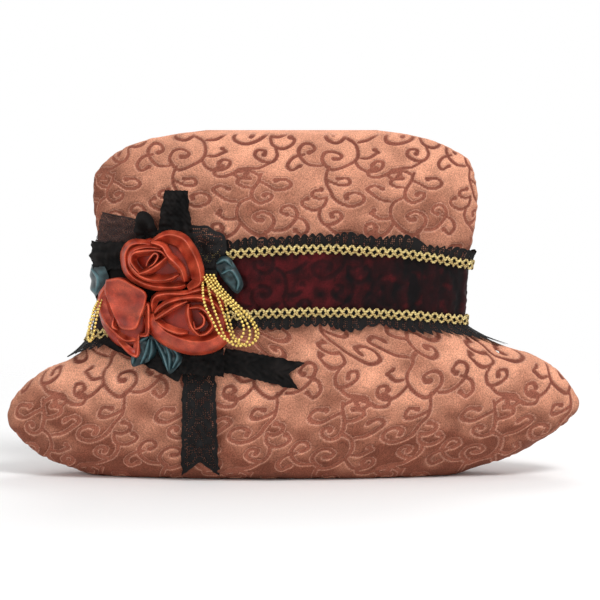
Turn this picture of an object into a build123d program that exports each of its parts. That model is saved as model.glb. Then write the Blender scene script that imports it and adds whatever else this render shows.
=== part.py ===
"""A stuffed cushion in the shape of a brimmed hat, which stands on its own flat base.

The cover is cut velvet: a front and a back panel that meet in a seam round the outline, and an oval base
panel.  A band of plain velvet goes round the crown between two gold braids and two ruffles of black lace.
A corsage of three satin ribbon roses, teal ribbon leaves, black ribbon and lace tails and loops of beaded
string is sewn to the left of the front.

Millimetres.  X runs along the width, Y from front to back and Z up.  The origin is in the middle of the flat
base, under the seam.  Trims that lie on the cushion are cut from a skin: the cushion's own outer shape, grown
by a stand-off, so they follow it whatever its size.
"""

from build123d import *
import math
import os

# ---- the cushion ------------------------------------------------------------------------------------------
BRIM_WIDTH = 508.0          # across the brim's two ends
BRIM_HEIGHT = 114.0         # from the base to the fold between brim and crown
BRIM_DEPTH = 117.0          # front to back at the brim's fullest
CROWN_WIDTH = 336.0         # across the crown
CROWN_HEIGHT = 190.5        # from that fold to the top seam
CROWN_DEPTH = 106.0         # front to back at the crown's fullest
CROWN_SHIFT = -7.0          # the crown stands this far to the side of the brim's middle
CLOTH = 1.5                 # the velvet cover
FILLING_EASE = 0.3          # between the filling and the cover
SEAM_Y = 0.0                # the plane in which the front and back panels meet

# Each row is a level: height in its part, reach to the left and to the right, and depth, as shares of that
# part's own height, half width and half depth.
BRIM_LEVELS = [
    (0.00, 0.72, 0.58, 0.58),
    (0.03, 0.755, 0.615, 0.66),
    (0.07, 0.80, 0.67, 0.75),
    (0.12, 0.85, 0.735, 0.82),
    (0.19, 0.91, 0.81, 0.89),
    (0.44, 1.00, 0.97, 0.99),
    (0.54, 0.99, 1.00, 1.00),
    (0.69, 0.94, 0.97, 0.99),
    (0.82, 0.86, 0.92, 0.965),
    (0.91, 0.77, 0.855, 0.925),
    (1.00, 0.725, 0.744, 0.87),
]
CROWN_LEVELS = [
    (0.055, 1.015, 1.010, 0.92),
    (0.11, 0.995, 0.935, 0.905),
    (0.23, 0.970, 0.940, 0.925),
    (0.40, 0.976, 0.965, 0.97),
    (0.53, 0.988, 0.995, 1.00),
    (0.69, 1.012, 1.012, 0.96),
    (0.78, 1.006, 1.000, 0.877),
    (0.86, 0.940, 0.970, 0.735),
    (0.92, 0.840, 0.870, 0.566),
    (0.96, 0.71, 0.75, 0.40),
    (0.985, 0.56, 0.62, 0.25),
    (1.00, 0.41, 0.48, 0.10),
]

# ---- the band and its edgings -----------------------------------------------------------------------------
BAND_THICK = 1.2
BAND_TOP = 88.0             # the band's upper edge, above the fold, where that edge is highest
BAND_FOOT = 33.5            # its lower edge, there
BAND_TOP_RADIUS = 560.0     # the edges droop to the sides in arcs of these radii
BAND_FOOT_RADIUS = 830.0
BAND_HIGH_X = 20.0          # where both arcs are highest
LACE_THICK = 1.4
LACE_TUCK = 3.0             # how far a ruffle goes under its braid
LACE_RISE = 14.0            # how far it stands out past the band's edge
BRAID_THICK = 2.4
BRAID_WIDTH = 10.5
EASE = 0.3                  # between trims that lie on each other
BAND_OUT = EASE + BAND_THICK

# ---- the corsage ------------------------------------------------------------------------------------------
CORSAGE_X = -115.0          # its middle
CORSAGE_ABOVE_FOLD = 51.0
FELT_THICK = 1.5
FELT_HALF_WIDTH = 46.0
FELT_HALF_HEIGHT = 57.0
RIBBON_THICK = 0.5
RIBBON_EASE = 0.2
RIBBON_WIDTH = 24.0
# which layer on the felt each ribbon is sewn in, 1 the lowest
RIBBON_LAYERS = {
    "ribbon_tail_up": 3, "ribbon_tail_left": 2, "ribbon_tail_lower_left": 1, "tulle_tail": 1,
    "ribbon_knot": 2, "ribbon_loop_upper": 2, "lace_loop_right": 1, "leaf_right": 2, "leaf_left": 1,
    "leaf_bottom_left": 3, "leaf_bottom_right": 3,
}
LACE_TAIL_WIDTH = 33.0
TAIL_EASE = 0.5             # a loose tail's stand-off from the velvet
TAIL_THICK = 0.8
TAIL_CLEAR = 3.0            # the hanging tail ends this far above the base
ROSE_WALL = 1.4             # folded satin, two layers thick
ROSE_PITCH = 5.2            # from one turn of the ribbon to the next
ROSE_RISE = 26.0            # from the ribbons under a rose to its middle
ROSE_DOME = 58.0            # radius of the dome that a rose's turns end on
ROSE_BACK = 2.0             # its sewn back
ROSE_EASE = 0.4             # between roses
# name: place from the corsage's middle, radius, and how far it faces to the side, in degrees
ROSES = {
    "rose_top": (0.0, 25.0, 33.0, 10.0),
    "rose_right": (31.5, -26.0, 30.5, 5.0),
    "rose_left": (-26.6, -22.0, 24.5, 8.0),
}

# ---- the beaded strings -----------------------------------------------------------------------------------
BEAD_DIAMETER = 2.5
TIE_EASE = 0.6
TIE_RADIUS = 3.5            # the thread-bound roll that a bunch of strings hangs from
# x and z of each roll, its length, its direction in degrees from X towards the front, and the leaf that it
# lies on
TIES = {
    "bead_tie_right": (-72.3, 181.0, 14.5, 8.0, "leaf_right"),
    "bead_tie_left": (-166.4, 158.0, 9.5, 37.0, "leaf_left"),
}
# Each string is a loop, given by its route from one sewn end to the other.
BEAD_ROUTES = {
    "bead_loop_right_1": [(-67.6, -62.0, 177.2), (-63.5, -69.0, 167.0), (-53.5, -74.0, 154.5),
                          (-41.5, -78.0, 142.5), (-36.2, -79.0, 129.5), (-45.0, -79.5, 119.8),
                          (-56.8, -79.5, 124.5), (-61.0, -79.5, 138.0), (-63.5, -78.3, 152.5),
                          (-65.0, -71.0, 166.0), (-67.6, -64.4, 180.3)],
    "bead_loop_right_2": [(-70.7, -61.6, 177.2), (-70.5, -73.0, 167.5), (-68.0, -79.0, 153.5),
                          (-64.5, -83.0, 140.5), (-61.0, -83.0, 128.5), (-53.0, -83.0, 121.0),
                          (-43.5, -83.0, 121.8), (-38.8, -82.8, 131.5), (-45.0, -82.0, 145.5),
                          (-57.5, -79.5, 157.5), (-68.5, -72.5, 170.0), (-70.7, -64.0, 180.3)],
    "bead_loop_right_3": [(-73.8, -61.2, 177.2), (-76.0, -74.5, 168.0), (-75.5, -83.0, 154.0),
                          (-70.5, -87.0, 141.0), (-67.0, -87.0, 129.0), (-58.5, -87.0, 121.0),
                          (-48.5, -86.8, 122.3), (-43.8, -86.5, 132.5), (-49.5, -86.0, 146.0),
                          (-61.0, -82.0, 158.5), (-72.5, -74.5, 170.5), (-73.8, -63.5, 180.3)],
    "bead_loop_right_4": [(-76.9, -60.8, 177.2), (-81.5, -75.5, 168.5), (-82.0, -86.0, 155.0),
                          (-76.0, -90.8, 143.5), (-72.0, -91.0, 132.5), (-63.5, -91.0, 125.0),
                          (-53.5, -90.7, 126.2), (-48.8, -90.5, 136.0), (-54.5, -89.5, 149.5),
                          (-66.0, -84.5, 161.0), (-75.5, -75.0, 172.0), (-76.9, -63.1, 180.3)],
    "bead_loop_left_1": [(-169.8, -26.0, 154.1), (-174.5, -25.5, 145.5), (-178.2, -24.5, 135.5),
                         (-179.3, -24.5, 125.0), (-177.5, -33.5, 119.7), (-173.5, -42.5, 124.0),
                         (-171.3, -43.0, 135.5), (-168.9, -40.0, 147.5), (-166.5, -31.3, 156.7)],
    "bead_loop_left_2": [(-167.5, -27.7, 154.1), (-171.0, -29.3, 146.8), (-174.5, -29.5, 139.5),
                         (-177.2, -32.5, 131.5), (-178.0, -41.0, 127.0), (-176.3, -50.0, 131.8),
                         (-173.5, -49.5, 142.5), (-172.5, -41.0, 151.0), (-168.8, -29.5, 156.7)],
}


# ---- the cushion's shape ----------------------------------------------------------------------------------
def levels():
    """Every level of the cushion as (z, left edge, right edge, half depth)."""
    rows = [
        (share * BRIM_HEIGHT, -left * BRIM_WIDTH / 2, right * BRIM_WIDTH / 2, depth * BRIM_DEPTH / 2)
        for share, left, right, depth in BRIM_LEVELS
    ]
    for share, left, right, depth in CROWN_LEVELS:
        z = BRIM_HEIGHT + share * CROWN_HEIGHT
        rows.append(
            (z, CROWN_SHIFT - left * CROWN_WIDTH / 2, CROWN_SHIFT + right * CROWN_WIDTH / 2,
             depth * CROWN_DEPTH / 2)
        )
    return rows


def skin(grown):
    """The cushion's outer shape, grown sideways by that much."""
    sections = [
        Plane(((left + right) / 2, SEAM_Y, z)) * Ellipse((right - left) / 2 + grown, depth + grown)
        for z, left, right, depth in levels()
    ]
    return loft(sections, ruled=True)


def core(inset):
    """The cushion's outer shape less that much all round, top and base too."""
    top = BRIM_HEIGHT + CROWN_HEIGHT
    squeeze = (top - 2 * inset) / top
    sections = [
        Plane(((left + right) / 2, SEAM_Y, inset + z * squeeze))
        * Ellipse((right - left) / 2 - inset, depth - inset)
        for z, left, right, depth in levels()
    ]
    return loft(sections, ruled=True)


def front_y(x, z, grown):
    """Where the front of the grown skin is at that x and z."""
    rows = levels()
    for low, high in zip(rows, rows[1:]):
        if z <= high[0]:
            break
    share = (z - low[0]) / (high[0] - low[0])
    left, right, depth = (low[i] + share * (high[i] - low[i]) for i in (1, 2, 3))
    across = (x - (left + right) / 2) / ((right - left) / 2 + grown)
    return SEAM_Y - (depth + grown) * math.sqrt(max(0.0, 1 - across * across))


def between(shape, inner, outer):
    """The part of a solid that lies between two skins."""
    return (shape & skin(outer)) - skin(inner)


def curtain(points):
    """A solid that runs forward from the seam, with that outline seen from the front."""
    outline = Plane.XZ * make_face(Polyline(*points, close=True))
    return extrude(outline, BRIM_DEPTH)


# ---- the band ---------------------------------------------------------------------------------------------
def arc_z(crest, radius, x):
    return crest - radius + math.sqrt(radius**2 - (x - BAND_HIGH_X) ** 2)


def hoop(foot, foot_radius, top, top_radius):
    """A solid right through the cushion between two drooping edges."""
    reach = 0.45 * BRIM_WIDTH
    left, right = BAND_HIGH_X - reach, BAND_HIGH_X + reach
    edges = [
        ThreePointArc((left, arc_z(top, top_radius, left)), (BAND_HIGH_X, top),
                      (right, arc_z(top, top_radius, right))),
        Line((right, arc_z(top, top_radius, right)), (right, arc_z(foot, foot_radius, right))),
        ThreePointArc((right, arc_z(foot, foot_radius, right)), (BAND_HIGH_X, foot),
                      (left, arc_z(foot, foot_radius, left))),
        Line((left, arc_z(foot, foot_radius, left)), (left, arc_z(top, top_radius, left))),
    ]
    return extrude(Plane.XZ * make_face(edges), BRIM_DEPTH, both=True)


def band_parts():
    """The band, its two braids and its two ruffles, each a ring round the crown."""
    top, foot = BRIM_HEIGHT + BAND_TOP, BRIM_HEIGHT + BAND_FOOT
    lace_in = BAND_OUT + EASE
    braid_in = lace_in + LACE_THICK + EASE
    braid_out = braid_in + BRAID_THICK

    def ring(low, low_radius, high, high_radius, inner, outer):
        return between(hoop(low, low_radius, high, high_radius), inner, outer)

    return {
        "hat_band": ring(foot, BAND_FOOT_RADIUS, top, BAND_TOP_RADIUS, EASE, BAND_OUT),
        "lace_ruffle_upper": ring(top - LACE_TUCK, BAND_TOP_RADIUS, top + LACE_RISE, BAND_TOP_RADIUS,
                                  lace_in, lace_in + LACE_THICK),
        "lace_ruffle_lower": ring(foot - LACE_RISE, BAND_FOOT_RADIUS, foot + LACE_TUCK, BAND_FOOT_RADIUS,
                                  lace_in, lace_in + LACE_THICK),
        "gold_braid_upper": ring(top - BRAID_WIDTH / 2, BAND_TOP_RADIUS, top + BRAID_WIDTH / 2,
                                 BAND_TOP_RADIUS, braid_in, braid_out),
        "gold_braid_lower": ring(foot - BRAID_WIDTH / 2, BAND_FOOT_RADIUS, foot + BRAID_WIDTH / 2,
                                 BAND_FOOT_RADIUS, braid_in, braid_out),
    }


# ---- the corsage ------------------------------------------------------------------------------------------
CORSAGE_Z = BRIM_HEIGHT + CORSAGE_ABOVE_FOLD
FELT_IN = BAND_OUT + EASE + LACE_THICK + EASE + BRAID_THICK + EASE
FELT_OUT = FELT_IN + FELT_THICK


def layer(number):
    """Stand-off of the inner and outer face of the ribbons in that layer on the felt, 1 the lowest."""
    inner = FELT_OUT + RIBBON_EASE + (number - 1) * (RIBBON_THICK + RIBBON_EASE)
    return inner, inner + RIBBON_THICK


ROSE_SEAT = layer(3)[1] + RIBBON_EASE


def on_corsage(x, z):
    return CORSAGE_X + x, CORSAGE_Z + z


def strip(start, angle, length, width, slant=0.0, notch=0.0):
    """Outline of a flat ribbon from start, with a slanting end or one notched like a fish's tail."""
    along = (math.cos(math.radians(angle)), math.sin(math.radians(angle)))
    across = (-along[1], along[0])

    def at(far, side):
        return start[0] + far * along[0] + side * across[0], start[1] + far * along[1] + side * across[1]

    end = [at(length - slant, -width / 2), at(length - notch, 0), at(length, width / 2)]
    if notch == 0:
        end.pop(1)
    return [at(0, width / 2), at(0, -width / 2), *end]


def oval(middle, half_width, half_height, turn=0.0):
    """A solid forward from the seam with an oval outline."""
    outline = Plane.XZ * (Pos(*middle) * Rot(0, 0, turn) * Ellipse(half_width, half_height))
    return extrude(outline, BRIM_DEPTH)


def on_felt(name, outline):
    """A ribbon or leaf in its own layer on the felt."""
    return between(outline, *layer(RIBBON_LAYERS[name]))


def ribbon_parts():
    """The felt, and the ribbons, lace and leaves sewn to it under the roses."""
    hang_top = on_corsage(34.5, -73.5)
    outlines = {
        "ribbon_tail_up": curtain(strip(on_corsage(14, 28), 92, 60, RIBBON_WIDTH, slant=2)),
        "ribbon_tail_left": curtain(strip(on_corsage(-20, 31), 180, 37, RIBBON_WIDTH + 2, slant=-3)),
        "ribbon_tail_lower_left": curtain(strip(on_corsage(21, -70), 154, 76, 18, slant=12)),
        "tulle_tail": curtain(strip(on_corsage(-8, 50), 172, 44, 26, slant=12)),
        "ribbon_knot": curtain(strip(on_corsage(18, -59), 0, 39, 26)),
        "ribbon_loop_upper": oval(on_corsage(-8, 50), 9.5, 20, 12),
        "lace_loop_right": oval(on_corsage(42, 36), 19, 25, 30),
        "leaf_right": oval(on_corsage(57, 15), 12, 18, 30),
        "leaf_left": oval(on_corsage(-47, 4), 10, 18),
        "leaf_bottom_left": oval(on_corsage(-11, -56), 12, 15, -20),
        "leaf_bottom_right": oval(on_corsage(12, -56), 9, 14, 15),
    }
    parts = {name: on_felt(name, outline) for name, outline in outlines.items()}
    parts["corsage_felt"] = between(
        oval(on_corsage(0, -5), FELT_HALF_WIDTH, FELT_HALF_HEIGHT), FELT_IN, FELT_OUT)
    loose = {
        "ribbon_tail_right": strip(on_corsage(59.5, -59), -12, 66, RIBBON_WIDTH, slant=5, notch=12),
        "lace_tail": strip(hang_top, -90, hang_top[1] - TAIL_CLEAR, LACE_TAIL_WIDTH, slant=2, notch=14),
    }
    for name, outline in loose.items():
        parts[name] = between(curtain(outline), TAIL_EASE, TAIL_EASE + TAIL_THICK)
    return parts


def rose_plane(name):
    x, z, _, turn = ROSES[name]
    x, z = on_corsage(x, z)
    face = math.radians(turn)
    outward = (-math.sin(face), -math.cos(face), 0)
    return Plane(origin=(x, front_y(x, z, ROSE_SEAT), z), x_dir=(math.cos(face), -math.sin(face), 0),
                 z_dir=outward)


def rose_envelope(name, grown=0.0):
    """The drum that a rose fills."""
    return rose_plane(name) * Pos(0, 0, -ROSE_RISE) * Cylinder(
        ROSES[name][2] + grown, 3 * ROSE_RISE, align=(Align.CENTER, Align.CENTER, Align.MIN))


def rose(name):
    """One satin rose: rings of folded ribbon that rise to a dome, on a sewn back."""
    radius = ROSES[name][2]
    upright = (Align.CENTER, Align.CENTER, Align.MIN)
    count = int(radius / ROSE_PITCH)
    turns = []
    for i in range(count):
        outer = radius - i * ROSE_PITCH
        turns.append(Circle(outer) - Circle(outer - ROSE_WALL))
    walls = extrude(Sketch() + turns, ROSE_RISE)
    walls += Cylinder(radius, ROSE_BACK, align=upright)
    walls &= Pos(0, 0, ROSE_RISE - ROSE_DOME) * Sphere(ROSE_DOME)
    return rose_plane(name) * walls


def rose_parts():
    """The three roses.  Where two would meet, the upper one keeps its shape and the other is cut back."""
    seat = skin(ROSE_SEAT)
    made, in_front = {}, []
    for name in ("rose_top", "rose_right", "rose_left"):
        solid = rose(name) - seat
        for other in in_front:
            solid -= rose_envelope(other, ROSE_EASE)
        made[name] = solid
        in_front.append(name)
    return made


# ---- the beaded strings -----------------------------------------------------------------------------------
def bead_route(name):
    """Straight runs joined by tangent arcs, each arc as large as its two runs allow."""
    points = [Vector(*p) for p in BEAD_ROUTES[name]]
    radii = []
    for before, here, after in zip(points, points[1:], points[2:]):
        turn = math.radians((here - before).get_angle(after - here))
        shorter = min((here - before).length, (after - here).length)
        radii.append(0.45 * shorter / math.tan(turn / 2))
    return FilletPolyline(*points, radius=radii), radii


def bead_parts():
    made = {}
    for name in BEAD_ROUTES:
        path, radii = bead_route(name)
        section = Plane(origin=path @ 0, z_dir=path % 0) * Circle(BEAD_DIAMETER / 2)
        made[name] = sweep(section, path=path)
        straight = math.pi * (BEAD_DIAMETER / 2) ** 2 * path.length
        print(name, "length", round(path.length, 1), "least radius", round(min(radii), 1),
              "volume share", round(made[name].volume / straight, 4))
    return made


def tie_parts():
    """The rolls of thread that the bunches hang from.  A roll's axis is the axis its bunch lifts about."""
    made = {}
    for name, (x, z, length, turn, under) in TIES.items():
        rest = layer(RIBBON_LAYERS[under])[1] + TIE_EASE + TIE_RADIUS
        angle = math.radians(turn)
        along = Plane(origin=(x, front_y(x, z, rest), z), z_dir=(math.cos(angle), -math.sin(angle), 0))
        made[name] = along * Cylinder(TIE_RADIUS, length)
        print(name, "axis at", [round(v, 2) for v in along.origin], "along",
              [round(v, 4) for v in along.z_dir])
    return made


# ---- everything -------------------------------------------------------------------------------------------
def cover_parts():
    """The two velvet panels, the base panel and the filling."""
    outer = skin(0)
    shell = outer - core(CLOTH)
    room = 2 * BRIM_WIDTH
    upright = (Align.CENTER, Align.CENTER, Align.MIN)
    base_slab = Box(room, room, CLOTH, align=upright)
    upper = shell - base_slab
    front = Pos(0, SEAM_Y, 0) * Box(room, room, room, align=(Align.CENTER, Align.MAX, Align.MIN))
    return {
        "front_panel": upper & front,
        "back_panel": upper - front,
        "base_panel": outer & base_slab,
        "filling": core(CLOTH + FILLING_EASE),
    }


def main():
    os.makedirs("parts", exist_ok=True)
    parts = {**cover_parts(), **band_parts(), **ribbon_parts(), **rose_parts(), **bead_parts(), **tie_parts()}
    for name, shape in parts.items():
        export_step(shape, f"parts/{name}.step")


main()
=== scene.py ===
"""The looks of a stuffed hat-shaped cushion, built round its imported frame.

Lengths are worked out in millimetres, in the frame's axes, and become metres when a mesh is made.
"""
import math

import bpy
import numpy as np
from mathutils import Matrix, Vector, kdtree


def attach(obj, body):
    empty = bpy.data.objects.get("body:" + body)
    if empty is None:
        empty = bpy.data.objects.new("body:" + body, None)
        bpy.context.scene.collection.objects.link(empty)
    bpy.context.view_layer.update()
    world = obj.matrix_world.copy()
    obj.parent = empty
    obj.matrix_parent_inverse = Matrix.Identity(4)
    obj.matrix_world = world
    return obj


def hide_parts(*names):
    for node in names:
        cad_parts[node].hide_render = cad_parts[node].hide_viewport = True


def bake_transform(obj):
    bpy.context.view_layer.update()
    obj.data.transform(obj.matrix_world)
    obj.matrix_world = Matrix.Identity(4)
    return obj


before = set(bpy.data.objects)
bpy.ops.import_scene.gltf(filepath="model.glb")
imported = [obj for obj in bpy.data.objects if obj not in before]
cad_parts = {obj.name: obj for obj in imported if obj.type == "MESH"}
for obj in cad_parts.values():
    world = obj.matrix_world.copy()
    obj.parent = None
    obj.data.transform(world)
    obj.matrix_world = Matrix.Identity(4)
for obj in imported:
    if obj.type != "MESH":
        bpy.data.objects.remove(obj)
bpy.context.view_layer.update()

MM = 0.001
ROOT = "cushion"

# ---- the cushion's shape, as the frame has it -------------------------------------------------------------
BRIM_WIDTH, BRIM_HEIGHT, BRIM_DEPTH = 508.0, 114.0, 117.0
CROWN_WIDTH, CROWN_HEIGHT, CROWN_DEPTH = 336.0, 190.5, 106.0
CROWN_SHIFT = -7.0
# height in its part, reach left and right, and depth, as shares of that part's height, half width and depth
BRIM_LEVELS = [
    (0.00, 0.72, 0.58, 0.58), (0.03, 0.755, 0.615, 0.66), (0.07, 0.80, 0.67, 0.75),
    (0.12, 0.85, 0.735, 0.82), (0.19, 0.91, 0.81, 0.89), (0.44, 1.00, 0.97, 0.99),
    (0.54, 0.99, 1.00, 1.00), (0.69, 0.94, 0.97, 0.99), (0.82, 0.86, 0.92, 0.965),
    (0.91, 0.77, 0.855, 0.925), (1.00, 0.725, 0.744, 0.87),
]
CROWN_LEVELS = [
    (0.055, 1.015, 1.010, 0.92), (0.11, 0.995, 0.935, 0.905), (0.23, 0.970, 0.940, 0.925),
    (0.40, 0.976, 0.965, 0.97), (0.53, 0.988, 0.995, 1.00), (0.69, 1.012, 1.012, 0.96),
    (0.78, 1.006, 1.000, 0.877), (0.86, 0.940, 0.970, 0.735), (0.92, 0.840, 0.870, 0.566),
    (0.96, 0.71, 0.75, 0.40), (0.985, 0.56, 0.62, 0.25), (1.00, 0.41, 0.48, 0.0),
]
BAND_HIGH_X = 20.0
BAND_TOP_Z, BAND_TOP_RADIUS = BRIM_HEIGHT + 88.0, 560.0
BAND_FOOT_Z, BAND_FOOT_RADIUS = BRIM_HEIGHT + 33.5, 830.0

# ---- what lies on what, as stand-offs from the velvet -----------------------------------------------------
BAND_OFF = 1.1
LACE_OFF = 2.6
BRAID_OFF = 4.4
FELT_OFF = 7.0
RIBBON_OFF = {1: 8.0, 2: 8.8, 3: 9.6}
ROSE_OFF = 9.8


def srgb(red, green, blue):
    """A colour as it is seen, 0 to 255, as the shader's linear one."""
    def linear(value):
        value /= 255
        return value / 12.92 if value <= 0.04045 else ((value + 0.055) / 1.055) ** 2.4
    return (linear(red), linear(green), linear(blue), 1.0)


# ---- curves and surfaces ----------------------------------------------------------------------------------
def smooth_steps(known, values, wanted):
    """A curve through the known values that doesn't overshoot them, at the wanted places."""
    known, values = np.asarray(known, float), np.asarray(values, float)
    step, slope = np.diff(known), np.diff(values) / np.diff(known)
    tangent = np.zeros_like(values)
    same_way = slope[:-1] * slope[1:] > 0
    weights = (2 * step[1:] + step[:-1], step[1:] + 2 * step[:-1])
    with np.errstate(divide="ignore", invalid="ignore"):
        mean = (weights[0] + weights[1]) / (weights[0] / slope[:-1] + weights[1] / slope[1:])
    tangent[1:-1] = np.where(same_way, mean, 0)
    tangent[0], tangent[-1] = slope[0], slope[-1]
    wanted = np.asarray(wanted, float)
    at = np.clip(np.searchsorted(known, wanted) - 1, 0, len(step) - 1)
    t = np.clip((wanted - known[at]) / step[at], 0, 1)
    rise = step[at]
    return ((2 * t**3 - 3 * t**2 + 1) * values[at] + (t**3 - 2 * t**2 + t) * rise * tangent[at]
            + (3 * t**2 - 2 * t**3) * values[at + 1] + (t**3 - t**2) * rise * tangent[at + 1])


def through(points, count):
    """A smooth line through a few points, as count points along axis 0."""
    points = np.asarray(points, float)
    padded = np.concatenate([[2 * points[0] - points[1]], points, [2 * points[-1] - points[-2]]])
    place = np.linspace(0, len(points) - 1, count)
    at = np.minimum(place.astype(int), len(points) - 2)
    t = (place - at).reshape(-1, *[1] * (points.ndim - 1))
    a, b, c, d = padded[at], padded[at + 1], padded[at + 2], padded[at + 3]
    return 0.5 * (2 * b + (c - a) * t + (2 * a - 5 * b + 4 * c - d) * t**2 + (3 * b - a - 3 * c + d) * t**3)


def cushion_levels():
    rows = [(h * BRIM_HEIGHT, -left * BRIM_WIDTH / 2, right * BRIM_WIDTH / 2, d * BRIM_DEPTH / 2)
            for h, left, right, d in BRIM_LEVELS]
    rows += [(BRIM_HEIGHT + h * CROWN_HEIGHT, CROWN_SHIFT - left * CROWN_WIDTH / 2,
              CROWN_SHIFT + right * CROWN_WIDTH / 2, d * CROWN_DEPTH / 2)
             for h, left, right, d in CROWN_LEVELS]
    return np.array(rows)


LEVELS = cushion_levels()
TOP_Z = LEVELS[-1, 0]


def level_at(z):
    """Middle, half width and half depth of the cushion at that height."""
    left, right, depth = (smooth_steps(LEVELS[:, 0], LEVELS[:, i], z) for i in (1, 2, 3))
    return (left + right) / 2, (right - left) / 2, depth


def on_skin(angle, z, off=0.0):
    """Points round the cushion: angle 0 is the front's middle, and a right angle is the right seam."""
    middle, half, depth = level_at(z)
    x = middle + (half + off) * np.sin(angle)
    y = -(depth + off) * np.cos(angle)
    return np.stack([x, y, np.broadcast_to(z, np.shape(x))], axis=-1)


def front_point(x, z, off=0.0):
    """The point of the cushion's front at that x and z, standing off it."""
    middle, half, depth = level_at(z)
    across = np.clip((np.asarray(x, float) - middle) / half, -0.999, 0.999)
    y = -depth * np.sqrt(1 - across**2)
    normal = np.stack([across / half, y / depth**2, np.zeros_like(y)], axis=-1)
    normal /= np.linalg.norm(normal, axis=-1, keepdims=True)
    return np.stack([x + 0 * y, y, z + 0 * y], axis=-1) + np.asarray(off)[..., None] * normal


def edge_z(crest, radius, x):
    """Height of one of the band's edges, an arc that is highest at BAND_HIGH_X."""
    return crest - radius + np.sqrt(radius**2 - (np.clip(x, -300, 300) - BAND_HIGH_X) ** 2)


def waves(seed, count, shortest, longest):
    """Seeded gentle noise: a function of two lengths in mm, from about -1 to 1."""
    rng = np.random.default_rng(seed)
    length = np.exp(rng.uniform(math.log(shortest), math.log(longest), count))
    way, phase = rng.uniform(0, 2 * math.pi, (2, count))
    scale = length / length.max()
    total = np.sqrt((scale**2).sum() / 2) * 1.6

    def at(u, v):
        u, v = np.asarray(u, float)[..., None], np.asarray(v, float)[..., None]
        return (scale * np.sin(2 * math.pi * (u * np.cos(way) + v * np.sin(way)) / length + phase)
                ).sum(axis=-1) / total
    return at


# ---- meshes -----------------------------------------------------------------------------------------------
def sheet_faces(rows, cols, start=0, ring=False):
    """Faces of a grid of points, row by row; a ring's last column joins its first."""
    i, j = np.meshgrid(np.arange(rows - 1), np.arange(cols if ring else cols - 1), indexing="ij")
    after = (j + 1) % cols
    faces = np.stack([i * cols + j, i * cols + after, (i + 1) * cols + after, (i + 1) * cols + j], axis=-1)
    return faces.reshape(-1, 4) + start


class Piece:
    """Grids of points gathered into one mesh."""

    def __init__(self):
        self.points, self.faces, self.marks, self.count = [], [], [], 0

    def add(self, grid, ring=False, mark=0.0, flip=False):
        rows, cols = grid.shape[:2]
        faces = sheet_faces(rows, cols, self.count, ring)
        self.faces.append(faces[:, ::-1] if flip else faces)
        self.points.append(grid.reshape(-1, 3))
        self.marks.append(np.broadcast_to(mark, (rows, cols)).reshape(-1))
        self.count += rows * cols

    def tube(self, line, radius, sides=6, mark=0.0):
        """A closed-ended tube along a line; radius is one number or one for each point."""
        line = np.asarray(line, float)
        ahead = np.gradient(line, axis=0)
        ahead /= np.linalg.norm(ahead, axis=1, keepdims=True) + 1e-9
        up = np.array([0.31, -0.9, 0.29])
        side = np.cross(ahead, up)
        side /= np.linalg.norm(side, axis=1, keepdims=True) + 1e-9
        other = np.cross(ahead, side)
        angle = np.linspace(0, 2 * math.pi, sides, endpoint=False)
        radius = np.broadcast_to(radius, len(line))[:, None, None]
        grid = line[:, None] + radius * (np.cos(angle)[:, None] * side[:, None]
                                         + np.sin(angle)[:, None] * other[:, None])
        ends = [np.repeat(line[k][None, None], sides, axis=1) for k in (0, -1)]
        self.add(np.concatenate([ends[0], grid, ends[1]]), ring=True, mark=mark)

    def build(self, name, material, body=ROOT, stands_for=None, weld=True):
        points = np.concatenate(self.points) * MM
        faces = np.concatenate(self.faces)
        mesh = bpy.data.meshes.new(name)
        mesh.vertices.add(len(points))
        mesh.vertices.foreach_set("co", points.astype(np.float32).ravel())
        mesh.loops.add(faces.size)
        mesh.loops.foreach_set("vertex_index", faces.astype(np.int32).ravel())
        mesh.polygons.add(len(faces))
        mesh.polygons.foreach_set("loop_start", np.arange(0, faces.size, 4, dtype=np.int32))
        mesh.update(calc_edges=True)
        mesh.validate()
        mark = mesh.attributes.new("mark", "FLOAT", "POINT")
        mark.data.foreach_set("value", np.concatenate(self.marks).astype(np.float32))
        mesh.shade_smooth()
        piece = bpy.data.objects.new(name, mesh)
        bpy.context.scene.collection.objects.link(piece)
        mesh.materials.append(material)
        if weld:
            merge = piece.modifiers.new("weld", "WELD")
            merge.merge_threshold = 0.01 * MM
        if body:
            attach(piece, body)
            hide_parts(stands_for)
        return piece


# ---- shader node groups -----------------------------------------------------------------------------------
def new_group(name, inputs, outputs):
    group = bpy.data.node_groups.new(name, "ShaderNodeTree")
    for label, kind, default in inputs:
        socket = group.interface.new_socket(label, in_out="INPUT", socket_type=kind)
        if default is not None:
            socket.default_value = default
    for label, kind in outputs:
        group.interface.new_socket(label, in_out="OUTPUT", socket_type=kind)
    return group, group.nodes.new("NodeGroupInput"), group.nodes.new("NodeGroupOutput")


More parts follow.
